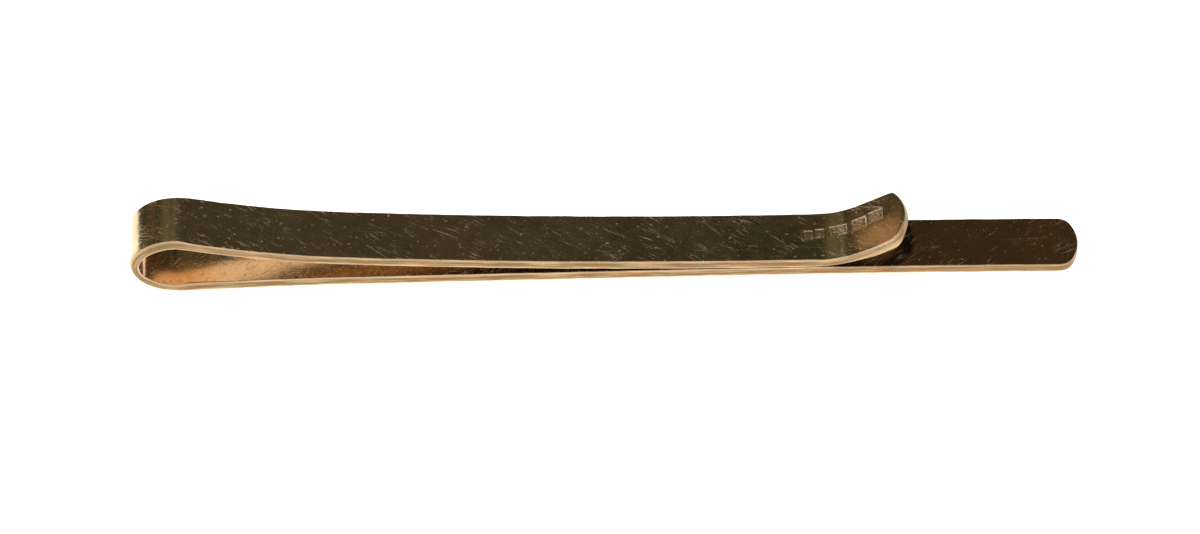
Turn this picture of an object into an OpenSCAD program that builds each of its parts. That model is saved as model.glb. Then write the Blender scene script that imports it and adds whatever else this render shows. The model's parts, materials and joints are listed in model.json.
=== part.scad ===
// Tie slide: one strip of gold folded back on itself. The long leaf is the bar that shows on
// the tie, and the short leaf above it is the spring tongue that grips, with a lip turned up
// at its end to start over the cloth. X runs from the bend to the tip, Y across the strip,
// and Z up from the show face to the tongue. The slide lies on its show face.
// Every stretch of the strip is an arc or a straight, laid end to end along its mid surface.

/* [Strip] */
// Length of the whole slide, from the outside of the bend to the tip
overall_length = 57; // [50:0.5:70]
// Width of the strip
strip_w = 4.1; // [3:0.1:6]
// Thickness of the strip
strip_t = 0.57; // [0.4:0.01:0.8]

/* [Return bend] */
// Height of the bend over its outside
bend_h = 4; // [3.4:0.1:5]
// Distance from the outside of the bend to its crest
bend_reach = 2.7; // [2.2:0.1:3.4]
// Outside radius of the nose of the bend
nose_r = 1.55; // [1.2:0.05:1.65]

/* [Long leaf] */
// Distance from the outside of the bend to the start of the flat show panel
panel_start = 14; // [9:0.5:18]
// Distance from the outside of the bend to the end of the flat show panel
panel_end = 33; // [26:0.5:42]
// Height of the show panel's bow over the surface that the slide lies on
bow_h = 0.275; // [0.1:0.025:0.5]
// Radius of the rounded tip at its middle
tip_end_r = 3.3; // [3.2:0.1:5]
// Radius of the rounded tip at its two corners
tip_corner_r = 0.85; // [0.3:0.05:1.2]

/* [Spring tongue] */
// Slope of the shoulder where it leaves the bend, in degrees
shoulder_slope = 13.5; // [10:0.5:17]
// Slope of the tongue where it leaves the shoulder, in degrees
tongue_slope = 4.2; // [3:0.1:6]
// Distance from the outside of the bend to where the tongue lands on the long leaf
grip_reach = 39.1; // [32:0.1:47]
// Length of tongue that lies along the long leaf
grip_length = 2.3; // [1:0.1:5]
// Gap between the tongue and the long leaf where it lands
grip_gap = 0.02; // [0.01:0.01:0.1]

/* [Flared lip] */
// Angle that the lip turns up to, in degrees
lip_angle = 27.3; // [15:0.5:40]
// Radius that the lip is bent to, at the middle of the strip's thickness
lip_bend_r = 5.2; // [3:0.1:8]
// Straight length of the lip, from its bend to the middle of its rounded end
lip_length = 3.2; // [2.6:0.1:5]
// Radius of the lip's rounded end at its middle
lip_end_r = 3.2; // [3.1:0.1:5]
// Radius of the lip's rounded end at its two corners
lip_corner_r = 0.4; // [0.2:0.05:1]

/* [Stamped marks] */
// Depth of the blank stamped marks
stamp_depth = 0.04; // [0.02:0.01:0.1]
// Height of a mark, across the strip
stamp_h = 0.86; // [0.5:0.02:1.2]
// Length of each of the two small marks at the end of the tongue
small_stamp = 0.6; // [0.4:0.02:0.7]
// Length of the long mark in the lip's bend
long_stamp = 1.2; // [0.8:0.05:1.3]
// Length of each of the two marks on the lip
lip_stamp = 1.02; // [0.7:0.02:1.1]
// Gap between the two marks of a pair
pair_gap = 0.12; // [0.06:0.02:0.2]
// Gap between the long mark and the pair on each side of it
stamp_gap = 0.28; // [0.15:0.01:0.4]
// How far the first mark is set off the middle of the strip
stamp_offset = 0.12; // [0:0.02:0.3]
// How much further off each next mark is set
stamp_drift = 0.11; // [0:0.01:0.2]

/* [Hidden] */
$fn = 96;
gold = "#c9986a";
worn_gold = "#b98a5c";
// How far a cutting shape runs past what it cuts
cut = 0.5;
// How far a facet of a slow curve may stand off the true curve
facet_error = 0.002;
half_t = strip_t / 2;

// Places are [x, z] on the strip's mid surface. The bend is an oval of three arcs: its nose,
// and a wider arc above and below that meets the nose at nose_half degrees off the level.
nose_x = -overall_length / 2;
core_r = nose_r - half_t;
nose_c = [nose_x + nose_r, bend_h / 2];
nose_half = 2 * (atan((bend_reach - nose_r) / (bend_h / 2 - nose_r)) - 45);
r_step = (bend_reach - nose_r) / cos(nose_half);
side_r = core_r + r_step;
crest_c = nose_c + r_step * [cos(nose_half), -sin(nose_half)];
base_c = nose_c + r_step * [cos(nose_half), sin(nose_half)];

// The lower arm rises from the bottom of the bend to the show panel in two equal turns.
arm_length = panel_start - bend_reach;
arm_turn = 2 * atan(bow_h / arm_length);
arm_r = arm_length / sin(arm_turn) - side_r;
arm_mid = on_arc(base_c, side_r, 270 + arm_turn);
arm_c = arm_mid + arm_r * [sin(arm_turn), -cos(arm_turn)];

// Past the show panel the long leaf curves down, so that its tip touches the surface.
tip_length = overall_length - panel_end;
tip_face_r = (pow(tip_length, 2) + pow(bow_h, 2)) / (2 * bow_h);
tip_r = tip_face_r + half_t;
tip_c = [nose_x + panel_end, bow_h - tip_face_r];
tip_turn = asin((tip_length + cut) / tip_face_r);
panel = [nose_x + panel_start, bow_h + half_t];

// The tongue lands along the long leaf's upper face, at the slope that the leaf has there.
land_r = tip_r + strip_t + grip_gap;
land_slope = max(0, asin((grip_reach - panel_end) / land_r));
land = [nose_x + grip_reach, tip_c[1] + land_r * cos(land_slope)];

// The shoulder leaves the crest on the bend's own arc. The radii of the two arcs that follow
// are the ones that bring the tongue down to its landing: two equations in two radii.
shoulder = on_arc(crest_c, side_r, 90 - shoulder_slope);
run = land[0] - shoulder[0];
drop = shoulder[1] - land[1];
run_1 = sin(shoulder_slope) - sin(tongue_slope);
run_2 = sin(tongue_slope) - sin(land_slope);
drop_1 = cos(tongue_slope) - cos(shoulder_slope);
drop_2 = cos(land_slope) - cos(tongue_slope);
det = run_1 * drop_2 - run_2 * drop_1;
shoulder_r = (run * drop_2 - drop * run_2) / det;
tongue_r = (drop * run_1 - run * drop_1) / det;
shoulder_c = shoulder + shoulder_r * [sin(shoulder_slope), cos(shoulder_slope)];
hip = on_arc(shoulder_c, shoulder_r, 270 - tongue_slope);
tongue_c = hip + tongue_r * [sin(tongue_slope), cos(tongue_slope)];

// The lip turns up from the end of the gripping stretch.
lip_root = land + grip_length * [cos(land_slope), -sin(land_slope)];
lip_c = lip_root + lip_bend_r * [sin(land_slope), cos(land_slope)];
lip_start = on_arc(lip_c, lip_bend_r, 270 + lip_angle);
lip_end = lip_start + (lip_length + cut) * [cos(lip_angle), sin(lip_angle)];
lip_bend_length = lip_bend_r * (lip_angle + land_slope) * PI / 180;
// Each mark's start and length along the strip, from the lip's root. The long one is centred
// on the lip's bend, and a pair lies before it and another after it.
long_from = (lip_bend_length - long_stamp) / 2;
small_from = long_from - stamp_gap - 2 * small_stamp - pair_gap;
lip_from = long_from + long_stamp + stamp_gap;
stamps = [
    [small_from, small_stamp],
    [small_from + small_stamp + pair_gap, small_stamp],
    [long_from, long_stamp],
    [lip_from, lip_stamp],
    [lip_from + lip_stamp + pair_gap, lip_stamp]
];

function on_arc(centre, r, angle) = centre + r * [cos(angle), sin(angle)];

// A path is a list of [place, up], where up is the direction out of the strip's upper face.
function flat_point(place, slope) = [place, [-sin(slope), cos(slope)]];

// Path along an arc between two angles from +X. over is 1 where the strip passes over the
// arc's centre, and -1 where it passes under it.
function arc_path(centre, r, from, to, over) =
    let (steps = ceil(abs(to - from) * PI / 180 * sqrt(r / (8 * facet_error))))
    [for (i = [0 : steps])
        let (angle = from + (to - from) * i / steps)
        [on_arc(centre, r, angle), over * [cos(angle), sin(angle)]]];

// Side view of what lies along a path between two heights over its mid surface.
module side_view(path, low, high) {
    count = len(path);
    polygon(concat(
        [for (i = [0 : count - 1]) path[i][0] + high * path[i][1]],
        [for (i = [1 : count]) path[count - i][0] + low * path[count - i][1]]
    ));
}

// Strip, or a cutter, of a given width along a path.
module strip(path, low = -half_t, high = half_t, wide = strip_w)
    translate([0, wide / 2, 0])
        rotate([90, 0, 0])
            linear_extrude(wide)
                side_view(path, low, high);

// Outline of a strip with a rounded end: a wide arc across the end and a small one at each
// corner, all tangent. reach is the distance from the start to the middle of the end.
module rounded_end(reach, end_r, corner_r) {
    side = strip_w / 2 - corner_r;
    spread = asin(side / (end_r - corner_r));
    end_x = reach - end_r;
    corner_x = end_x + (end_r - corner_r) * cos(spread);
    translate([-reach, -strip_w / 2])
        square([reach + corner_x, strip_w]);
    for (s = [-1, 1])
        translate([corner_x, s * side])
            circle(corner_r);
    intersection() {
        translate([end_x, 0])
            circle(end_r);
        polygon([
            [end_x, 0],
            [end_x + 2 * end_r * cos(spread), -2 * end_r * sin(spread)],
            [end_x + 2 * end_r * cos(spread), 2 * end_r * sin(spread)]
        ]);
    }
}

// Puts what is drawn along +X at a place, climbing at slope degrees.
module along(place, slope)
    translate([place[0], 0, place[1]])
        rotate([0, -slope, 0])
            children();

// Trims a strip to its rounded end. The outline starts at a place and climbs at slope degrees.
module trimmed(place, slope, reach, end_r, corner_r)
    intersection() {
        children();
        along(place, slope)
            translate([0, 0, -bend_h])
                linear_extrude(2 * bend_h)
                    rounded_end(reach, end_r, corner_r);
    }

// Point of the path at a distance from the lip's root: on the tongue, in the bend or on the lip.
function lip_point(d) =
    d < 0 ? flat_point(lip_root + d * [cos(land_slope), -sin(land_slope)], -land_slope)
    : d > lip_bend_length ?
        flat_point(lip_start + (d - lip_bend_length) * [cos(lip_angle), sin(lip_angle)], lip_angle)
    : let (angle = 270 - land_slope + d / lip_bend_r * 180 / PI)
        [on_arc(lip_c, lip_bend_r, angle), -[cos(angle), sin(angle)]];

// Cutters for the whole row of blank marks in the upper face. The tongue and the lip are both
// cut with it, because the second mark lies across where they meet.
module stamp_row()
    for (i = [0 : len(stamps) - 1])
        translate([0, stamp_offset + i * stamp_drift, 0])
            strip([for (k = [0 : 8]) lip_point(stamps[i][0] + stamps[i][1] * k / 8)],
                half_t - stamp_depth, half_t + cut, stamp_h);

// Show bar: a flat panel in the middle, then a slow curve down to the rounded tip.
module long_leaf()
    color(gold)
        trimmed(panel, 0, overall_length - panel_start, tip_end_r, tip_corner_r)
            strip(concat([flat_point(panel, 0)], arc_path(tip_c, tip_r, 90, 90 - tip_turn, 1)));

// Stretch that comes round the bottom of the bend and rises to the show panel.
module lower_arm()
    color(worn_gold)
        strip(concat(
            arc_path(base_c, side_r, 180 + nose_half, 270 + arm_turn, -1),
            arc_path(arm_c, arm_r, 90 + arm_turn, 90, 1)
        ));

// Nose of the fold, which is the slide's spring: a true arc about the bend's axis.
module return_bend()
    color(gold)
        translate([nose_c[0], 0, nose_c[1]])
            rotate([90, 0, 0])
                rotate([0, 0, 180 - nose_half])
                    rotate_extrude(angle = 2 * nose_half)
                        translate([nose_r - strip_t, -strip_w / 2])
                            square([strip_t, strip_w]);

// Shoulder that comes over the crest of the bend and turns down towards the long leaf.
module upper_arm()
    color(worn_gold)
        strip(concat(
            arc_path(crest_c, side_r, 180 - nose_half, 90 - shoulder_slope, 1),
            arc_path(shoulder_c, shoulder_r, 270 - shoulder_slope, 270 - tongue_slope, -1)
        ));

// Spring tongue: it flattens out and lies along the long leaf. The row of marks starts on it.
module clip_tongue()
    color(gold)
        difference() {
            strip(concat(
                arc_path(tongue_c, tongue_r, 270 - tongue_slope, 270 - land_slope, -1),
                [flat_point(lip_root, -land_slope)]
            ));
            stamp_row();
        }

// Lip turned up so that the slide starts over the cloth. The row of marks ends on it.
module flared_lip()
    color(worn_gold)
        difference() {
            trimmed(lip_start, lip_angle, lip_length, lip_end_r, lip_corner_r)
                strip(concat(
                    arc_path(lip_c, lip_bend_r, 270 - land_slope, 270 + lip_angle, -1),
                    [flat_point(lip_end, lip_angle)]
                ));
            stamp_row();
        }

long_leaf();
lower_arm();
return_bend();
upper_arm();
clip_tongue();
flared_lip();
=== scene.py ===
import json
import math

import bmesh
import bpy
import numpy as np
from mathutils import Matrix, Quaternion, Vector


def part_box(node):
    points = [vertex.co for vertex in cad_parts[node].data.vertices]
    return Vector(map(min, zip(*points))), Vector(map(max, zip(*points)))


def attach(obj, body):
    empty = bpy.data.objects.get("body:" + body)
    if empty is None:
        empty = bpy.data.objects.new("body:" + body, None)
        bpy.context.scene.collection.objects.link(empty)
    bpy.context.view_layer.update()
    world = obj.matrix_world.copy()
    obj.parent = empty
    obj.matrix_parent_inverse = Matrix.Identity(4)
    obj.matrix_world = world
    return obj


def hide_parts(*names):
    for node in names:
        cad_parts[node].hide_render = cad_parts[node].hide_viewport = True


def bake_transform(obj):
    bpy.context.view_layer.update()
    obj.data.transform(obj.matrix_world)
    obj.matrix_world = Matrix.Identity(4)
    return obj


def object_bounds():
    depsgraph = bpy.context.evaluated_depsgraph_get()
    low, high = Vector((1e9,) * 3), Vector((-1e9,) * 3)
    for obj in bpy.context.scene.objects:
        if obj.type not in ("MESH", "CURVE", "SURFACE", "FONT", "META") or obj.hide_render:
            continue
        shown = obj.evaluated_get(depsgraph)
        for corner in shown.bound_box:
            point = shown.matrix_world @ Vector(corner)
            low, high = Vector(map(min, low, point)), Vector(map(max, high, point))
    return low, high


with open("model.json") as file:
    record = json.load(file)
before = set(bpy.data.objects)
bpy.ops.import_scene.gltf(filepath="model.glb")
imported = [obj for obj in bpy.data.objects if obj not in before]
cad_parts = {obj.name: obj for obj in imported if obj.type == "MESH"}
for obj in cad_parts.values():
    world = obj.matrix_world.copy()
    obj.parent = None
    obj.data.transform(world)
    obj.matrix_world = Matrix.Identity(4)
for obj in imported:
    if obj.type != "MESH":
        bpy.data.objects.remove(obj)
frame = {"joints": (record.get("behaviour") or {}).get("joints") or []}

cad_low, cad_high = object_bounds()

# Long leaf: the bar that shows on the tie. It is the first half of one strip of rose gold,
# sawn from rolled sheet, its tip filed round and its two faces polished on a wheel. All the
# leaves are one strip, so its route, its blank, its bending and its finish start here.
MM = 0.001
half_w = cad_high.y / MM
half_t = 0.57 / 2
nose_joint = Vector(frame["joints"][0]["pos_m"]) / MM
nose_r = nose_joint.x - cad_low.x / MM - half_t
panel_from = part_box("long_leaf")[0].x / MM
panel_to = 4.5
tip_reach = cad_high.x / MM - panel_to
tip_turn = 1.3126
arm_r = 229.342
arm_turn = 2.7882
side_r = 2.9594
base_turn = 45.5288
nose_turn = 94.5176
crest_turn = 56.2412
shoulder_r = 58.4596
shoulder_turn = 9.3
tongue_r = 390.742
tongue_turn = 3.8666
grip_length = 2.3
lip_r = 5.2
lip_turn = 27.6334
lip_length = 3.2


# Each leg of the route is a length in millimetres and how far it turns, from the tip of the
# long leaf, round the bend, to the lip's end. A turn is positive away from the tongue.
def arc(radius, turn):
    """Leg of a radius in millimetres that turns by so many degrees."""
    return (radius * math.radians(abs(turn)), turn)


legs = {
    "tip": (tip_reach, tip_turn),
    "panel": (panel_to - panel_from, 0),
    "lower_arm": arc(arm_r, arm_turn),
    "base": arc(side_r, -base_turn),
    "nose": arc(nose_r, -nose_turn),
    "crest": arc(side_r, -crest_turn),
    "shoulder": arc(shoulder_r, shoulder_turn),
    "tongue": arc(tongue_r, tongue_turn),
    "grip": (grip_length, 0),
    "lip_bend": arc(lip_r, lip_turn),
    "lip": (lip_length, 0),
}
leg_end = {}
run = 0.0
for name, (length, turn) in legs.items():
    run += length
    leg_end[name] = run
strip_length = run

# The turning is eased over a short length where two legs meet, as metal bends, and the route
# is then walked both ways from the middle of the nose, where the strip stands upright.
route_step = 0.01
route_spare = 1.0
ease_length = 0.5
walked = np.arange(-route_spare, strip_length + route_spare, route_step)
joins = np.cumsum([0.0] + [length for length, turn in legs.values()])
turned = np.radians(np.cumsum([0.0] + [turn for length, turn in legs.values()]))
heading = np.interp(walked, joins, turned)
ease_steps = 2 * int(ease_length / route_step / 2) + 1
ease = np.ones(ease_steps) / ease_steps
for _ in range(2):
    heading = np.convolve(np.pad(heading, ease_steps, "edge"), ease, "same")[ease_steps:-ease_steps]
nose_middle = leg_end["base"] + legs["nose"][0] / 2
heading += math.pi / 2 - np.interp(nose_middle, walked, heading)
turning = np.gradient(heading, route_step)
route_x = np.cumsum(np.cos(heading)) * route_step
route_z = np.cumsum(np.sin(heading)) * route_step
route_x += nose_joint.x - nose_r - np.interp(nose_middle, walked, route_x)
route_z += half_t - route_z[(walked >= 0) & (walked <= strip_length)].min()


def tightness(along):
    """How tightly the strip is bent at a place, 1 at the nose and negative where it turns back."""
    return -np.interp(along, walked, turning) * nose_r


# The gaps between rows of points, in millimetres. Each row turns the strip by row_turn radians,
# unless that gap falls outside the least and the most.
fine_gap = 0.03
fine_margin = 0.05
end_row_gap = 0.008
row_gap_least = 0.025
row_gap_most = 0.3
row_turn = 0.02
straightest = 0.004


def rows_between(start, end, fine=()):
    """Places along the strip for rows of points: close at bends, at the ends and in fine spans."""
    places = [start, start + end_row_gap]
    while places[-1] < end - fine_gap:
        here = places[-1]
        bent_gap = row_turn * nose_r / max(abs(tightness(here)), straightest)
        step = min(row_gap_most, max(row_gap_least, bent_gap))
        if any(low - fine_margin < here < high + fine_margin for low, high in fine):
            step = fine_gap
        places.append(min(here + step, end - end_row_gap))
    return places + [end]


# The edges' radii: on the outer face, at the bend, on the lip's near side, on the inner face,
# and where the inner face of the lower arm is rubbed.
plain_fillet = 0.075
bend_fillet = 0.12
lip_fillet = 0.23
inner_fillet = 0.05
rubbed_fillet = 0.17
rubbed_places = [
    leg_end["panel"] + 7.0,
    leg_end["panel"] + 11.0,
    leg_end["base"] - 6.0,
    leg_end["base"] - 3.0,
]
lip_worn_from = leg_end["lip_bend"] - 0.8
lip_worn_to = leg_end["lip"] - 0.6
lip_worn_side = 0.9
lip_worn_spread = 1.2
fillet_turns = [math.radians(a) for a in (0, 18, 36, 54, 72, 90)]


def edge_round(along, side, share):
    """Radius of the edge between a face and the sides. It is worn most on the lip and the arm."""
    if side < 0:
        rubbed = np.interp(along, rubbed_places, [0, 1, 1, 0])
        return inner_fillet + (rubbed_fillet - inner_fillet) * rubbed
    worn = np.interp(along, [lip_worn_from, lip_worn_to], [0, lip_fillet - plain_fillet])
    worn *= np.clip((lip_worn_side - share) / lip_worn_spread, 0, 1)
    return plain_fillet + worn + (bend_fillet - plain_fillet) * np.clip(tightness(along), 0, 1)


edge_columns = [0.9, 0.96, 0.992, 1]
column_gap = 0.2


def columns_across(fine=()):
    """Shares of the half width for columns of points, close at both edges and in fine spans."""
    places = [-share for share in reversed(edge_columns)]
    while places[-1] < edge_columns[0]:
        here = places[-1] * half_w
        step = fine_gap if any(low < here < high for low, high in fine) else column_gap
        places.append(min(places[-1] + step / half_w, edge_columns[0]))
    return places + edge_columns[1:]


class Blank:
    """A flat length of strip: along, across and height over its middle, in millimetres.

    A rounded end is made at the far end. A blank that is turned about is made from 0 on, and
    its rounded end then lies at the strip's start.
    """

    def __init__(self, start, end, columns, fine_rows=(), round_end=None, turned_about=False):
        self.columns = columns
        self.turned_end = end if turned_about else None
        self.rows = [("straight", place) for place in rows_between(start, end, fine_rows)]
        self.round_end = round_end
        if round_end:
            self.rows = [row for row in self.rows if row[1] < round_end["from"]]
            count = round_end["rows"]
            self.rows += [("round", i / count) for i in range(count + 1)]

    def corner(self, edge):
        """Radius of one corner of the rounded end, and the angle where the end's curve meets it."""
        shape = self.round_end
        corner_r = shape["corner_r"] if edge > 0 else shape["near_corner_r"]
        return corner_r, math.asin((half_w - corner_r) / (shape["end_r"] - corner_r))

    def end_point(self, share, inset):
        """Point on the rounded end, share is -1 to 1 from the middle of one corner to the other's."""
        end_r = self.round_end["end_r"]
        corner_r, spread = self.corner(share)
        corner_middle = (math.pi / 2 + spread) / 2
        wide = spread * end_r
        narrow = (corner_middle - spread) * corner_r
        walk = abs(share) * (wide + narrow)
        centre = self.round_end["reach"] - end_r
        side = 0.0
        radius = end_r
        angle = walk / end_r
        if walk > wide:
            centre += (end_r - corner_r) * math.cos(spread)
            side = half_w - corner_r
            radius = corner_r
            angle = spread + (walk - wide) / corner_r
        along = centre + (radius - inset) * math.cos(angle)
        across = side + (radius - inset) * math.sin(angle)
        return np.array([along, math.copysign(across, share) if share else 0.0])

    def side_point(self, edge, share, inset):
        """Point on a long side, share is 0 to 1 from the last straight row to the corner's middle."""
        start = self.round_end["from"]
        end_r = self.round_end["end_r"]
        corner_r, spread = self.corner(edge)
        corner_at = self.round_end["reach"] - end_r + (end_r - corner_r) * math.cos(spread)
        turn = (math.pi / 2 - spread) / 2
        straight = corner_at - start
        walk = share * (straight + turn * corner_r)
        if walk <= straight:
            return np.array([start + walk, edge * (half_w - inset)])
        angle = math.pi / 2 - (walk - straight) / corner_r
        radius = corner_r - inset
        side = half_w - corner_r + radius * math.sin(angle)
        return np.array([corner_at + radius * math.cos(angle), edge * side])

    def point(self, row, share, inset):
        """Point of a row and column on the outline drawn in by inset, as along and across."""
        kind, place = row
        if kind == "straight":
            return np.array([place, share * (half_w - inset)])
        far = (share + 1) / 2
        start = np.array([self.round_end["from"], share * (half_w - inset)])
        corners = far * self.end_point(1, inset) + (1 - far) * self.end_point(-1, inset)
        flat = (1 - place) * start + place * corners
        rows = (1 - place) * start + place * self.end_point(share, inset)
        sides = far * self.side_point(1, place, inset)
        sides = sides + (1 - far) * self.side_point(-1, place, inset)
        return rows + sides - flat

    def row_round(self, row, side, share):
        """Radius of the worn edge at a row and column."""
        kind, place = row
        if kind == "round":
            start = self.round_end["from"]
            place = start + place * (self.round_end["reach"] - start)
        if self.turned_end:
            place = self.turned_end - place
        return edge_round(place, side, share)

    def mesh(self, name):
        """Closed mesh: an outer and an inner face, rounded edges between them, and plain cut ends."""
        bm = bmesh.new()
        filed = bm.verts.layers.float.new("filed")
        face_rows = {}
        for side in (1, -1):
            face_rows[side] = []
            for row in self.rows:
                verts = []
                for share in self.columns:
                    fillet = self.row_round(row, side, share)
                    along, across = self.point(row, share, fillet)
                    verts.append(bm.verts.new((along, across, side * half_t)))
                face_rows[side].append(verts)
        ways = [(i, 0, -1) for i in range(len(self.rows))]
        if self.round_end:
            ways += [(len(self.rows) - 1, j, 0) for j in range(1, len(self.columns) - 1)]
        ways += [(i, len(self.columns) - 1, 1) for i in reversed(range(len(self.rows)))]
        rings = [[face_rows[1][i][j] for i, j, _ in ways]]
        levels = [(turn, 1) for turn in fillet_turns[1:]]
        levels += [(turn, -1) for turn in reversed(fillet_turns[1:])]
        for turn, side in levels:
            ring = []
            for i, j, _ in ways:
                fillet = self.row_round(self.rows[i], side, self.columns[j])
                inset = fillet * (1 - math.sin(turn))
                height = side * (half_t - fillet * (1 - math.cos(turn)))
                along, across = self.point(self.rows[i], self.columns[j], inset)
                vert = bm.verts.new((along, across, height))
                vert[filed] = math.sin(turn) ** 2
                ring.append(vert)
            rings.append(ring)
        rings.append([face_rows[-1][i][j] for i, j, _ in ways])
        for side in (1, -1):
            grid = face_rows[side]
            for i in range(len(grid) - 1):
                for j in range(len(self.columns) - 1):
                    quad = [grid[i][j], grid[i + 1][j], grid[i + 1][j + 1], grid[i][j + 1]]
                    bm.faces.new(quad if side > 0 else quad[::-1])
        for upper, lower in zip(rings, rings[1:]):
            for k in range(len(ways) - 1):
                if self.round_end or ways[k][2] == ways[k + 1][2]:
                    bm.faces.new([upper[k], lower[k], lower[k + 1], upper[k + 1]])
        ends = [(0, 0, len(ways) - 1)]
        if not self.round_end:
            last = len(self.rows) - 1
            ends.append((last, last, last + 1))
        for i, left, right in ends:
            top, low = face_rows[1][i], face_rows[-1][i]
            for j in range(len(self.columns) - 1):
                bm.faces.new([top[j], top[j + 1], low[j + 1], low[j]])
            bm.faces.new([ring[left] for ring in rings])
            bm.faces.new([ring[right] for ring in rings])
        bmesh.ops.recalc_face_normals(bm, faces=bm.faces)
        made = bpy.data.meshes.new(name)
        bm.to_mesh(made)
        bm.free()
        if self.turned_end:
            about = Matrix.Rotation(math.pi, 4, "Z")
            made.transform(Matrix.Translation((self.turned_end, 0, 0)) @ about)
        return made


# Bending the strip moves metal: the outside of a tight bend draws in and the inside swells,
# and the two edges curl out a little past the nose. The faces and edges are never quite true
# either: each wave is its radians per millimetre along and across, and its phase. The edges'
# swell has its second number per side instead.
outside_draw = 0.085
inside_swell = 0.45
edge_curl = 0.03
curl_power = 6
face_wave = 0.005
face_low = 1.4
face_swell = (0.9, 0.7, 0.0)
face_beat = (0.37, 0.0, 2.0)
face_ripple = (2.3, -1.9, 1.0)
ripple_share = 0.4
edge_wave = 0.012
edge_swell = (1.7, 3.0, 0.0)
edge_ripple = (4.1, 0.0, 1.3)

# The lip's near edge sags, a little less at its very end, and two low creases run across the
# strip: where along it, how high and how wide.
lip_sag = 0.19
sag_from = leg_end["lip_bend"] - 1.2
sag_length = 2.6
sag_side = 0.15
sag_eases_from = strip_length - 1.7
sag_eases_over = 1.5
sag_eased = 0.5
creases = [(leg_end["nose"] + 2.36, 0.020, 0.15), (leg_end["grip"] + 1.45, 0.006, 0.16)]


def wave(along, across, rates):
    """Height of a slow wave over the strip, -1 to 1."""
    by_along, by_across, phase = rates
    return np.sin(by_along * along + by_across * across + phase)


def worked(places):
    """The flat blank's points, with what bending and handling do to them."""
    along, across, height = places.T.copy()
    tight = tightness(along)
    share = across / half_w
    level = height / half_t
    level = np.where(level > 0, level, inside_swell * level)
    across *= 1 - outside_draw * tight * level
    height += edge_curl * tight * np.abs(share) ** curl_power * (along > nose_middle)
    for at, ridge, width in creases:
        height += ridge * np.exp(-((along - at) / width) ** 2)
    on_lip = np.clip((along - sag_from) / sag_length, 0, 1)
    on_lip = on_lip * on_lip * (3 - 2 * on_lip)
    near = np.clip(sag_side - share, 0, 2)
    at_end = np.clip((along - sag_eases_from) / sag_eases_over, 0, 1)
    height -= lip_sag * on_lip * near ** 2 * (1 - sag_eased * at_end ** 2)
    swell = wave(along, across, face_swell) * wave(along, across, face_beat)
    height += face_wave * (swell - face_low)
    height += face_wave * ripple_share * wave(along, across, face_ripple)
    swell = wave(along, np.sign(across), edge_swell) + wave(along, across, edge_ripple)
    across += edge_wave * swell * share * np.abs(share) ** 3 / 2
    return np.stack([along, across, height], 1)


# Nicks knocked into the strip's edges in wear: where along, which edge, how wide and how deep.
# The first is the deep one in the tongue's far edge.
nick_seed = 11
nick_count = 46
nick_widths = (0.04, 0.12)
nick_depths = (0.008, 0.03)
nick_reach = 0.25
nicks = np.random.default_rng(nick_seed)
nick_list = [(leg_end["shoulder"] + 15.45, 1, 0.10, 0.075)]
for _ in range(nick_count):
    at = nicks.uniform(0.5, strip_length - 1)
    edge = nicks.choice([-1, 1])
    width = nicks.uniform(*nick_widths)
    nick_list.append((at, edge, width, nicks.uniform(*nick_depths)))


def nicked(places):
    """Presses the nicks into the outer corners of the edges."""
    along, across, height = places.T.copy()
    for at, edge, width, depth in nick_list:
        near = np.exp(-((along - at) / width) ** 2)
        reach = np.clip((np.abs(across) - half_w + nick_reach) / nick_reach, 0, 1) ** 2
        upper = np.clip(height / half_t, 0, 1)
        across -= edge * depth * near * reach * upper * (np.sign(across) == edge)
    return np.stack([along, across, height], 1)


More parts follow.
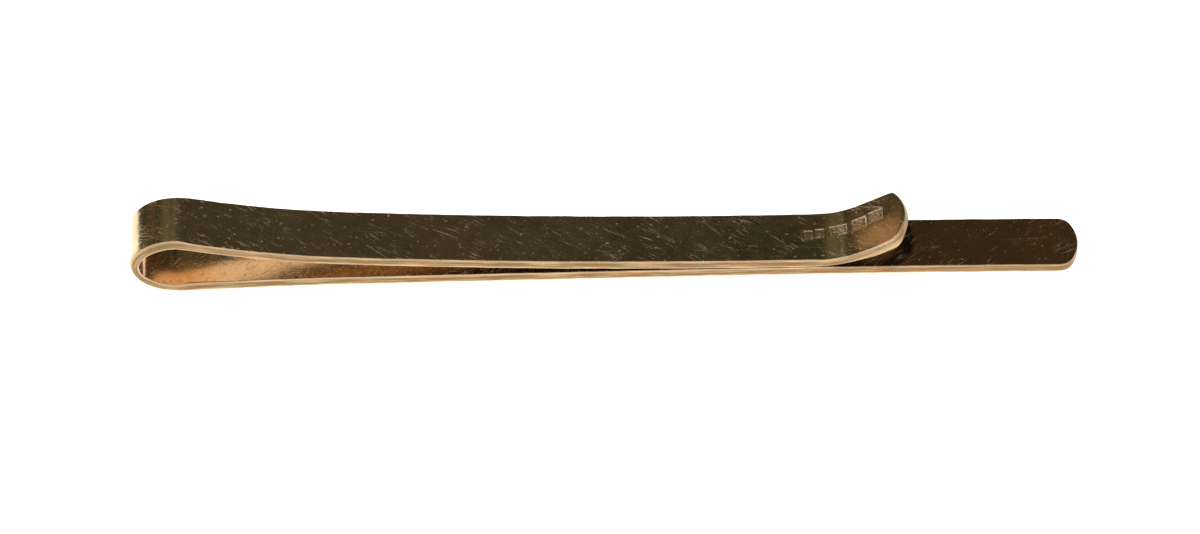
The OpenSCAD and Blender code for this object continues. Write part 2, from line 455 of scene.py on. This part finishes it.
def bending_tree():
    """Geometry Nodes: bends a flat blank along the route, and keeps its flat place for the finish."""
    tree = bpy.data.node_groups.new("bend_along_route", "GeometryNodeTree")
    tree.interface.new_socket("Blank", in_out="INPUT", socket_type="NodeSocketGeometry")
    tree.interface.new_socket("Route", in_out="INPUT", socket_type="NodeSocketObject")
    tree.interface.new_socket("Finish", in_out="INPUT", socket_type="NodeSocketMaterial")
    tree.interface.new_socket("Strip", in_out="OUTPUT", socket_type="NodeSocketGeometry")
    nodes, links = tree.nodes, tree.links
    ends = nodes.new("NodeGroupInput"), nodes.new("NodeGroupOutput")
    flat = nodes.new("GeometryNodeInputPosition")
    keep = nodes.new("GeometryNodeStoreNamedAttribute")
    keep.data_type = "FLOAT_VECTOR"
    keep.inputs["Name"].default_value = "strip_place"
    parts = nodes.new("ShaderNodeSeparateXYZ")
    route = nodes.new("GeometryNodeObjectInfo")
    sample = nodes.new("GeometryNodeSampleCurve")
    sample.mode = "LENGTH"
    outward = nodes.new("ShaderNodeVectorMath")
    outward.operation = "CROSS_PRODUCT"
    outward.inputs[1].default_value = (0, 1, 0)
    raised = nodes.new("ShaderNodeVectorMath")
    raised.operation = "SCALE"
    sideways = nodes.new("ShaderNodeCombineXYZ")
    steps = [nodes.new("ShaderNodeVectorMath"), nodes.new("ShaderNodeVectorMath")]
    to_metres = nodes.new("ShaderNodeVectorMath")
    to_metres.operation = "SCALE"
    to_metres.inputs["Scale"].default_value = MM
    bend = nodes.new("GeometryNodeSetPosition")
    real = nodes.new("GeometryNodeRealizeInstances")
    coat = nodes.new("GeometryNodeSetMaterial")
    for made, wanted in (
        (ends[0].outputs["Blank"], keep.inputs["Geometry"]),
        (flat.outputs[0], keep.inputs["Value"]),
        (flat.outputs[0], parts.inputs[0]),
        (ends[0].outputs["Route"], route.inputs["Object"]),
        (route.outputs["Geometry"], sample.inputs["Curves"]),
        (parts.outputs["X"], sample.inputs["Length"]),
        (sample.outputs["Tangent"], outward.inputs[0]),
        (outward.outputs[0], raised.inputs[0]),
        (parts.outputs["Z"], raised.inputs["Scale"]),
        (parts.outputs["Y"], sideways.inputs["Y"]),
        (sample.outputs["Position"], steps[0].inputs[0]),
        (raised.outputs[0], steps[0].inputs[1]),
        (steps[0].outputs[0], steps[1].inputs[0]),
        (sideways.outputs[0], steps[1].inputs[1]),
        (steps[1].outputs[0], to_metres.inputs[0]),
        (keep.outputs[0], bend.inputs["Geometry"]),
        (to_metres.outputs[0], bend.inputs["Position"]),
        (bend.outputs[0], real.inputs[0]),
        (real.outputs[0], coat.inputs["Geometry"]),
        (ends[0].outputs["Finish"], coat.inputs["Material"]),
        (coat.outputs[0], ends[1].inputs[0]),
    ):
        links.new(made, wanted)
    return tree


def route_curve():
    """The strip's middle line as a curve, in millimetres, so that its length is the blank's."""
    curve = bpy.data.curves.new("route", "CURVE")
    curve.dimensions = "3D"
    keep = (walked >= 0) & (walked <= strip_length + route_spare / 2)
    line = curve.splines.new("POLY")
    line.points.add(int(keep.sum()) - 1)
    points = np.stack([route_x[keep], 0 * route_x[keep], route_z[keep], 1 + 0 * route_x[keep]], 1)
    line.points.foreach_set("co", points.astype(np.float32).ravel())
    made = bpy.data.objects.new("route", curve)
    bpy.context.scene.collection.objects.link(made)
    return made


class Wire:
    """One socket of a material. Sums and products of wires add the Math nodes they need."""

    def __init__(self, tree, socket=None):
        self.tree = tree
        self.socket = socket

    def node(self, kind, settings, inputs, output=0):
        """Adds a node, sets it up, fills or joins its inputs, and gives the wire of one output."""
        made = self.tree.nodes.new(kind)
        for name, value in settings.items():
            if name == "stops":
                while len(made.color_ramp.elements) < len(value):
                    made.color_ramp.elements.new(1.0)
                for stop, (place, colour) in zip(made.color_ramp.elements, value):
                    stop.position = place
                    stop.color = colour
            else:
                setattr(made, name, value)
        for name, value in inputs.items():
            if isinstance(value, Wire):
                self.tree.links.new(value.socket, made.inputs[name])
            else:
                made.inputs[name].default_value = value
        return Wire(self.tree, made.outputs[output] if made.outputs else None)

    def maths(self, operation, *values):
        return self.node("ShaderNodeMath", {"operation": operation}, dict(enumerate(values)))

    def __add__(self, other):
        return self.maths("ADD", self, other)

    def __sub__(self, other):
        return self.maths("SUBTRACT", self, other)

    def __rsub__(self, other):
        return self.maths("SUBTRACT", other, self)

    def __mul__(self, other):
        return self.maths("MULTIPLY", self, other)

    __radd__ = __add__
    __rmul__ = __mul__

    def at_most(self, limit):
        return self.maths("MINIMUM", self, limit)

    def unsigned(self):
        return self.maths("ABSOLUTE", self)

    def over(self, low, high):
        """0 below low, 1 above high, and a smooth step between."""
        return self.node("ShaderNodeMapRange", {"interpolation_type": "SMOOTHSTEP"},
                         {"Value": self, "From Min": low, "From Max": high})


def layer(share, under, over):
    """One colour over another, by share."""
    return share.node("ShaderNodeMix", {"data_type": "RGBA"}, {0: share, 6: under, 7: over}, 2)


def strip_finish():
    """Polished rose gold, worn: wheel marks, slanting scratches, pits, tarnish and filed sides.

    Its patterns lie on the flat strip, in millimetres, and every share is 0 to 1.
    """
    gold = (0.89, 0.62, 0.37, 1)
    red_gold = (0.83, 0.47, 0.25, 1)
    filed_gold = (0.19, 0.135, 0.063, 1)
    filed_red = (0.23, 0.12, 0.055, 1)
    rubbed_gold_and_sheen = (0.70, 0.50, 0.29, 1)
    tarnish = (0.34, 0.25, 0.13, 1)
    brown = (0.52, 0.26, 0.10, 1)
    dull_gold = (0.74, 0.56, 0.38, 1)
    painted_shade = (0.02, 0.012, 0.007, 1)
    bright_gold = (0.97, 0.79, 0.62, 1)
    polish = 0.13
    roughest = 0.62
    relief_depth = 0.000016
    made = bpy.data.materials.new("worn_rose_gold")
    made.use_nodes = True
    tree = made.node_tree
    tree.nodes.clear()
    new = Wire(tree)
    place = new.node("ShaderNodeAttribute", {"attribute_name": "strip_place"}, {}, "Vector")
    filed = new.node("ShaderNodeAttribute", {"attribute_name": "filed"}, {}, "Fac")
    pressed = new.node("ShaderNodeAttribute", {"attribute_name": "pressed"}, {}, "Fac")

    def cloud(scale, detail, stretch=(1, 1, 1), turn=0.0, shift=0.0):
        """Noise over the flat strip, stretched along a direction turned from its length."""
        moved = new.node("ShaderNodeMapping", {"vector_type": "POINT"}, {
            "Vector": place, "Location": (shift, shift, shift)})
        turned = new.node("ShaderNodeVectorRotate", {"rotation_type": "Z_AXIS"},
                          {"Vector": moved, "Angle": math.radians(turn)})
        sized = new.node("ShaderNodeVectorMath", {"operation": "MULTIPLY"}, {0: turned, 1: stretch})
        return new.node("ShaderNodeTexNoise", {"noise_dimensions": "3D"},
                        {"Vector": sized, "Scale": scale, "Detail": detail, "Roughness": 0.55})

    # A scratch is a narrow crest of noise drawn out along the way that it was made. Each kind
    # has its slant in degrees, how often it comes along and across itself, how strong it is, and
    # a shift that keeps the kinds apart.
    scratches = 0.0
    for turn, length, width, amount, shift in (
        (42, 0.6, 13.0, 1.0, 3.1), (54, 0.9, 16.0, 0.8, 9.7), (28, 0.45, 15.0, 1.0, 17.3),
        (-32, 0.9, 17.0, 0.4, 23.9), (4, 0.2, 18.0, 0.5, 31.1),
    ):
        line = cloud(1.0, 1.0, (length, width, 1), turn, shift)
        scratches = scratches + line.over(0.67, 0.75) * amount
    patch = cloud(0.6, 2.0, shift=41.0).over(0.38, 0.60)
    scratches = (scratches * (patch * 0.8 + 0.2)).at_most(1.0)

    # Pits, specks and flecks are small. Blotch, shade and slow are the tarnish and the redder
    # patches, and wheel and peel are the polishing wheel's lines and the face's uneven surface.
    pit_cells = new.node("ShaderNodeTexVoronoi", {"feature": "F1"},
                         {"Vector": place, "Scale": 1.7}, "Distance")
    pits = 1 - pit_cells.over(0.05, 0.12)
    blotch = cloud(1.3, 5.0, shift=53.0).over(0.34, 0.68)
    fleck = cloud(6.0, 2.0, shift=57.0).over(0.50, 0.66)
    specks = cloud(4.6, 1.0, shift=59.0).over(0.68, 0.76)
    slow = cloud(0.16, 2.0, shift=61.0).over(0.4, 0.62)
    shade = cloud(0.22, 3.0, shift=67.0).over(0.42, 0.62)
    wheel = cloud(1.0, 3.0, (0.3, 24, 6), 0, 71.0)
    peel = cloud(1.1, 3.0, shift=83.0)
    file_lines = cloud(1.0, 2.0, (2.0, 2.0, 26.0), 0, 91.0)
    along = new.node("ShaderNodeSeparateXYZ", {}, {0: place}, "X")
    height = new.node("ShaderNodeSeparateXYZ", {}, {0: place}, "Z")

    # The faces inside the fold are in the gap between the leaves or in the loop of the bend. The
    # bar's inner face is bare from its tip to where the lip stands over it. Painted shade lies there
    # in a dark ring round the lip's end, and under the lip itself.
    bare_to = 14.0
    covered_from = 17.0
    loop_from = leg_end["base"] - 3.8
    gap_to = loop_from - 1.5
    lip_centre = (12.85, 0.3, 0)
    ring_starts = (1.7, 2.5)
    ring_stops = (2.85, 3.25)
    inside = 1 - height.over(-0.2, 0.0)
    covered = along.over(bare_to, covered_from)
    in_gap = (covered - along.over(gap_to, loop_from)) * inside
    in_gap = in_gap + along.over(leg_end["nose"] + 2.0, leg_end["nose"] + 4.0) * inside
    in_loop = inside - in_gap
    exposed = (1 - covered) * inside
    off_lip = new.node("ShaderNodeVectorMath", {"operation": "DISTANCE"},
                       {0: place, 1: lip_centre}, "Value")
    shade_ring = off_lip.over(*ring_starts) * (1 - off_lip.over(*ring_stops)) * exposed
    shade_under_lip = along.over(leg_end["grip"] - 0.5, leg_end["grip"] + 1.0) * inside
    shade_under_lip = (shade_under_lip + shade_ring).at_most(1.0)
    # Painted highlight: the sides at the lip's end are made lighter.
    lip_end_sheen = along.over(leg_end["lip_bend"] + 1.3, leg_end["lip_bend"] + 2.2)
    # Along the two creases the face is painted lighter as a highlight, and made rougher.
    rubbed = 0.0
    for at, _, width in creases:
        crest = 1 - (along - at).unsigned().over(0.0, 2.4 * width)
        rubbed = rubbed + crest * (fleck * 0.6 + 0.3)

    # The faces are gold, redder in patches and browner inside the fold. The sides are filed and
    # lighter along their corners, partly rubbed and partly a painted highlight, with a painted
    # highlight at the lip's end and painted shade towards the tip. Over both come tarnish, painted
    # shade under the lip, and the bright metal that scratches and the punch have bared, with painted
    # glints in the marks and a painted highlight on the creases.
    arris_wear_and_sheen = height.unsigned().over(0.10, 0.25)
    streaks = cloud(1.0, 3.0, (0.35, 1.0, 9.0), 0, 101.0).over(0.46, 0.62)
    colour = layer(slow * 0.4 * (1 - inside), gold, red_gold)
    colour = layer(in_gap, colour, dull_gold)
    colour = layer(exposed * 0.34 + in_loop * 0.55, colour, brown)
    walls = layer(cloud(0.7, 4.0, shift=103.0).over(0.42, 0.60), filed_gold, filed_red)
    walls = layer(arris_wear_and_sheen * 0.45 + streaks * 0.35 + lip_end_sheen * 0.15, walls, rubbed_gold_and_sheen)
    # Painted shade: the sides turn darker and redder towards the tip.
    walls = layer((1 - along.over(6.0, 20.0)) * 0.4, walls, filed_red)
    film = (blotch * 0.16 + shade * 0.24 + fleck * 0.10 + 0.08) * (1 - inside * 0.6)
    colour = layer(film * (1 - pressed * 0.6), colour, tarnish)
    colour = layer(filed, colour, walls)
    # Painted shade: near black under the lip and in a ring round its end on the bar.
    colour = layer(shade_under_lip * (1 - filed) * 0.93, colour, painted_shade)
    # Sparkle is painted glints: bright specks of colour in the struck marks.
    sparkle = cloud(6.5, 2.0, shift=107.0).over(0.50, 0.62) * pressed
    marks_and_glints = scratches * 0.7 + specks * 0.6 + pressed * 0.3 + sparkle * 0.7 + rubbed * 0.5
    marks_and_glints = marks_and_glints.at_most(1.0)
    colour = layer(marks_and_glints * (1 - filed * 0.8), colour, bright_gold)

    # Scratches, specks and pits are rougher than the polish, and so are the painted shade under and
    # round the lip, the creases, the struck marks and the filed sides.
    rough = polish + blotch * 0.08 * (1 - inside * 0.5) + fleck * 0.05 + wheel * 0.04
    rough = rough + scratches * 0.36 + pits * 0.2 + specks * 0.34
    rough = rough + filed * 0.14 + pressed * 0.06 + sparkle * 0.3 + rubbed * 0.3 + shade_under_lip * 0.25
    rough = rough.at_most(roughest)
    depth = peel * (0.9 - inside * 0.6) + wheel * 0.06 - scratches * 0.2 - pits * 0.5
    depth = depth + file_lines * filed * 0.5 + cloud(5.0, 3.0, shift=97.0) * pressed * 2.2
    relief = new.node("ShaderNodeBump", {}, {
        "Strength": 1.0, "Distance": relief_depth, "Height": depth})
    shader = new.node("ShaderNodeBsdfPrincipled", {"distribution": "MULTI_GGX"}, {
        "Base Color": colour, "Metallic": 1.0, "Roughness": rough, "Normal": relief})
    new.node("ShaderNodeOutputMaterial", {}, {"Surface": shader})
    return made


finish = strip_finish()
bend_tree = bending_tree()
route = route_curve()
smooth_under = math.radians(65)


def bent_strip(name, blank, mark=None):
    """Bends one stretch of the blank along the route, and makes it a plain mesh in its place."""
    flat = blank.mesh(name + "_blank")
    places = np.zeros(len(flat.vertices) * 3)
    flat.vertices.foreach_get("co", places)
    places = places.reshape(-1, 3)
    pressed = flat.attributes.new("pressed", "FLOAT", "POINT")
    places_after = nicked(worked(places))
    if mark:
        places_after, depth = mark(places, places_after)
        pressed.data.foreach_set("value", depth.astype(np.float32))
    flat.vertices.foreach_set("co", places_after.astype(np.float32).ravel())
    piece = bpy.data.objects.new(name, flat)
    bpy.context.scene.collection.objects.link(piece)
    modifier = piece.modifiers.new("bend", "NODES")
    modifier.node_group = bend_tree
    sockets = {s.name: s.identifier for s in bend_tree.interface.items_tree if s.in_out == "INPUT"}
    modifier[sockets["Route"]] = route
    modifier[sockets["Finish"]] = finish
    bpy.context.view_layer.update()
    state = bpy.context.evaluated_depsgraph_get()
    bent = bpy.data.meshes.new_from_object(
        piece.evaluated_get(state), preserve_all_data_layers=True, depsgraph=state)
    piece.modifiers.clear()
    piece.data = bent
    bent.name = name
    bent.shade_smooth()
    bent.set_sharp_from_angle(angle=smooth_under)
    return piece


# The show bar's tip is filed to a low curve between two well rounded corners. It lies at the
# strip's start, so its blank is made the other way round and turned about.
plain_columns = columns_across()
leaf_length = leg_end["panel"]
tip_end = {
    "reach": leaf_length,
    "from": leaf_length - 1.6,
    "rows": 40,
    "end_r": 3.3,
    "corner_r": 0.85,
    "near_corner_r": 0.85,
}
show_bar = bent_strip(
    "show_bar", Blank(0, leaf_length, plain_columns, round_end=tip_end, turned_about=True))
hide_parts("long_leaf")
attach(show_bar, "bar")

# Lower arm: the stretch that leaves the show bar and comes round the bottom of the bend. It is
# the same strip, rolled to its curve over a former while it was soft.
lower_arm = bent_strip("lower_arm_strip", Blank(leg_end["panel"], leg_end["base"], plain_columns))
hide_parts("lower_arm")
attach(lower_arm, "bar")

# Return bend: the nose of the fold, the tightest part of the strip, and its spring. It opens
# when cloth is pushed in, so it turns from the bar at its foot to the shoulder at its head.
nose = bent_strip("nose_strip", Blank(leg_end["base"], leg_end["nose"], plain_columns))
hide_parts("return_bend")
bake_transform(nose)

# Upper arm: the crest of the bend and the shoulder that runs down to the tongue. It gives a
# little along its whole length, so it turns from the shoulder to the tongue.
upper_arm = bent_strip("upper_arm_strip", Blank(leg_end["nose"], leg_end["shoulder"], plain_columns))
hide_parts("upper_arm")
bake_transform(upper_arm)

# Tongue: the leaf that grips the cloth. It lies along the bar at its end, and two small blank
# marks are struck there with a punch, in a row that runs on over the lip.
stamp_depth = 0.04
stamp_high = 0.86
small_stamp = 0.6
long_stamp = 1.2
lip_stamp = 1.02
pair_gap = 0.12
stamp_gap = 0.28
stamp_offset = 0.12
stamp_drift = 0.11
stamp_wall = 0.045
ring_inset = 0.2
ring_half = 0.03
ring_wall = 0.05
ring_share = 0.55
rim_high = 0.012
rim_outset = 0.03
rim_spread = 0.045
flat_within = 1e-6
lip_root = leg_end["grip"]
long_from = lip_root + (legs["lip_bend"][0] - long_stamp) / 2
small_from = long_from - stamp_gap - 2 * small_stamp - pair_gap
lip_from = long_from + long_stamp + stamp_gap
stamps = []
for rank, (at, length) in enumerate((
    (small_from, small_stamp),
    (small_from + small_stamp + pair_gap, small_stamp),
    (long_from, long_stamp),
    (lip_from, lip_stamp),
    (lip_from + lip_stamp + pair_gap, lip_stamp),
)):
    middle = stamp_offset + rank * stamp_drift
    stamps.append((at + length / 2, middle, length / 2, stamp_high / 2))


def struck(places, places_after):
    """Strikes the marks into the outer face, each with a raised ring inside and a rim round it."""
    along, across, height = places.T
    on_face = height > half_t - flat_within
    depth = np.zeros(len(along))
    rim = np.zeros(len(along))
    for middle, offset, half_long, half_high in stamps:
        out = np.maximum(np.abs(along - middle) - half_long, np.abs(across - offset) - half_high)
        step = np.clip(-out / stamp_wall, 0, 1)
        off_ring = np.clip((np.abs(out + ring_inset) - ring_half) / ring_wall, 0, 1)
        floor = step * step * (3 - 2 * step) * (1 - ring_share + ring_share * off_ring)
        depth = np.maximum(depth, floor)
        rim = np.maximum(rim, np.exp(-((out - rim_outset) / rim_spread) ** 2))
    after = places_after.copy()
    after[:, 2] += on_face * (rim_high * rim * (1 - depth) - stamp_depth * depth)
    return after, on_face * depth


stamp_span = (stamps[0][0] - 0.4, stamps[-1][0] + 0.4)
stamp_columns = columns_across([(-0.45, 1.15)])
tongue = bent_strip(
    "tongue_strip", Blank(leg_end["shoulder"], lip_root, stamp_columns, [stamp_span]), struck)
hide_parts("clip_tongue")
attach(tongue, "tongue")

# Lip: the tongue's end, turned up over a rod so that the slide starts over the cloth. Its end
# is filed to a low curve, its near corner is worn round, and the last three marks of the row
# are struck in it.
rounded_lip = {
    "reach": leg_end["lip"],
    "from": leg_end["lip_bend"] + 1.0,
    "rows": 36,
    "end_r": 3.2,
    "corner_r": 0.25,
    "near_corner_r": 0.75,
}
lip = bent_strip(
    "lip_strip", Blank(lip_root, leg_end["lip"], stamp_columns, [stamp_span], rounded_lip), struck)
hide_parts("flared_lip")
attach(lip, "tongue")
bpy.data.objects.remove(route)

# Table: the slide lies show face down on a plain white table top.
table_size = 3.0
table_mesh = bpy.data.meshes.new("table_top")
corners = [(-1, -1), (1, -1), (1, 1), (-1, 1)]
table_mesh.from_pydata([(x * table_size, y * table_size, 0) for x, y in corners], [], [(0, 1, 2, 3)])
table = bpy.data.objects.new("table_top", table_mesh)
bpy.context.scene.collection.objects.link(table)
white = bpy.data.materials.new("glowing_white_laminate")
white.use_nodes = True
laminate = white.node_tree.nodes["Principled BSDF"]
laminate.inputs["Base Color"].default_value = (0.93, 0.93, 0.92, 1)
laminate.inputs["Roughness"].default_value = 0.7
# The table top glows a little: painted light that lifts the shadows round the slide.
laminate.inputs["Emission Color"].default_value = (1.0, 0.995, 0.98, 1)
laminate.inputs["Emission Strength"].default_value = 0.62
table_mesh.materials.append(white)

# Light: a white dome in front and overhead, yellower low down behind and to the left, and a dim
# room behind with one warm wall, which the polished faces mirror. One broad lamp lights the
# table top. The room's tones run from its left to its right.
dome_colour = (1.0, 0.985, 0.95, 1)
yellow_wall = (0.93, 0.97, 0.62, 1)
yellow_way = Vector((-0.682, 0.731, 0))
yellow_spread = (0.75, 0.90)
dim_way = Vector((0, 0.906, 0.423))
dim_spread = (0.42, 0.60)
warm_wall = (0.40, 0.275, 0.145, 1)
warm_way = Vector((-0.637, 0.536, 0.553)).normalized()
warm_spread = (0.974, 0.991)
backdrop_white = (0.95, 0.95, 0.94, 1)
room_middle = 0.55
room_shapes = 0.10
room_tones = [
    (0.00, (0.045, 0.050, 0.034, 1)),
    (0.20, (0.038, 0.042, 0.028, 1)),
    (0.34, (0.130, 0.145, 0.090, 1)),
    (0.46, (0.120, 0.130, 0.080, 1)),
    (0.57, (0.040, 0.034, 0.018, 1)),
    (0.62, (0.008, 0.013, 0.014, 1)),
    (0.67, (0.090, 0.090, 0.067, 1)),
    (0.78, (0.052, 0.054, 0.036, 1)),
    (0.92, (0.050, 0.052, 0.034, 1)),
    (1.00, (0.070, 0.046, 0.020, 1)),
]
world = bpy.data.worlds.new("studio")
bpy.context.scene.world = world
world.use_nodes = True
world.node_tree.nodes.clear()
sky = Wire(world.node_tree)
way = sky.node("ShaderNodeTexCoord", {}, {}, "Generated")


def facing(to):
    """How squarely the way that a ray goes faces another, 1 when they are the same."""
    return sky.node("ShaderNodeVectorMath", {"operation": "DOT_PRODUCT"}, {0: way, 1: to}, "Value")


rightward = sky.node("ShaderNodeSeparateXYZ", {}, {0: way}, "X")
shapes = sky.node("ShaderNodeTexNoise", {}, {"Vector": way, "Scale": 45.0, "Detail": 3.0})
across_room = rightward + shapes * room_shapes + room_middle
room = sky.node("ShaderNodeValToRGB", {"stops": room_tones}, {0: across_room}, "Color")
room = layer(facing(warm_way).over(*warm_spread), room, warm_wall)
dome = layer(facing(yellow_way).over(*yellow_spread), dome_colour, yellow_wall)
glow = layer(1 - facing(dim_way).over(*dim_spread), room, dome)
seen = sky.node("ShaderNodeLightPath", {}, {}, "Is Camera Ray")
shown = layer(seen, glow, backdrop_white)
backdrop = sky.node("ShaderNodeBackground", {}, {"Color": shown, "Strength": 1.0})
sky.node("ShaderNodeOutputWorld", {}, {"Surface": backdrop})

lamp_data = bpy.data.lights.new("table_lamp", "AREA")
lamp_data.shape = "SQUARE"
lamp_data.size = 1.4
lamp_data.energy = 12
lamp = bpy.data.objects.new("table_lamp", lamp_data)
lamp.location = (0, -0.25, 1.3)
lamp.rotation_euler = (math.radians(-11), 0, 0)
lamp.visible_glossy = False
bpy.context.scene.collection.objects.link(lamp)

# Camera: on a long lens, in front and above, turned a touch so that the tip sits higher.
lens = 300
sensor = 36
elevation = math.radians(43)
roll = math.radians(1.29)
distance = 0.6031
aim = Vector((-0.0003, 0, -0.00067))
back = Vector((0, -math.cos(elevation), math.sin(elevation)))
camera_data = bpy.data.cameras.new("camera")
camera_data.lens = lens
camera_data.sensor_width = sensor
camera_data.clip_start = 0.01
camera_data.clip_end = 20
camera = bpy.data.objects.new("camera", camera_data)
camera.location = aim + distance * back
camera.rotation_mode = "QUATERNION"
camera.rotation_quaternion = (-back).to_track_quat("-Z", "Y") @ Quaternion((0, 0, 1), -roll)
bpy.context.scene.collection.objects.link(camera)
bpy.context.scene.camera = camera
bpy.context.scene.view_settings.view_transform = "Standard"
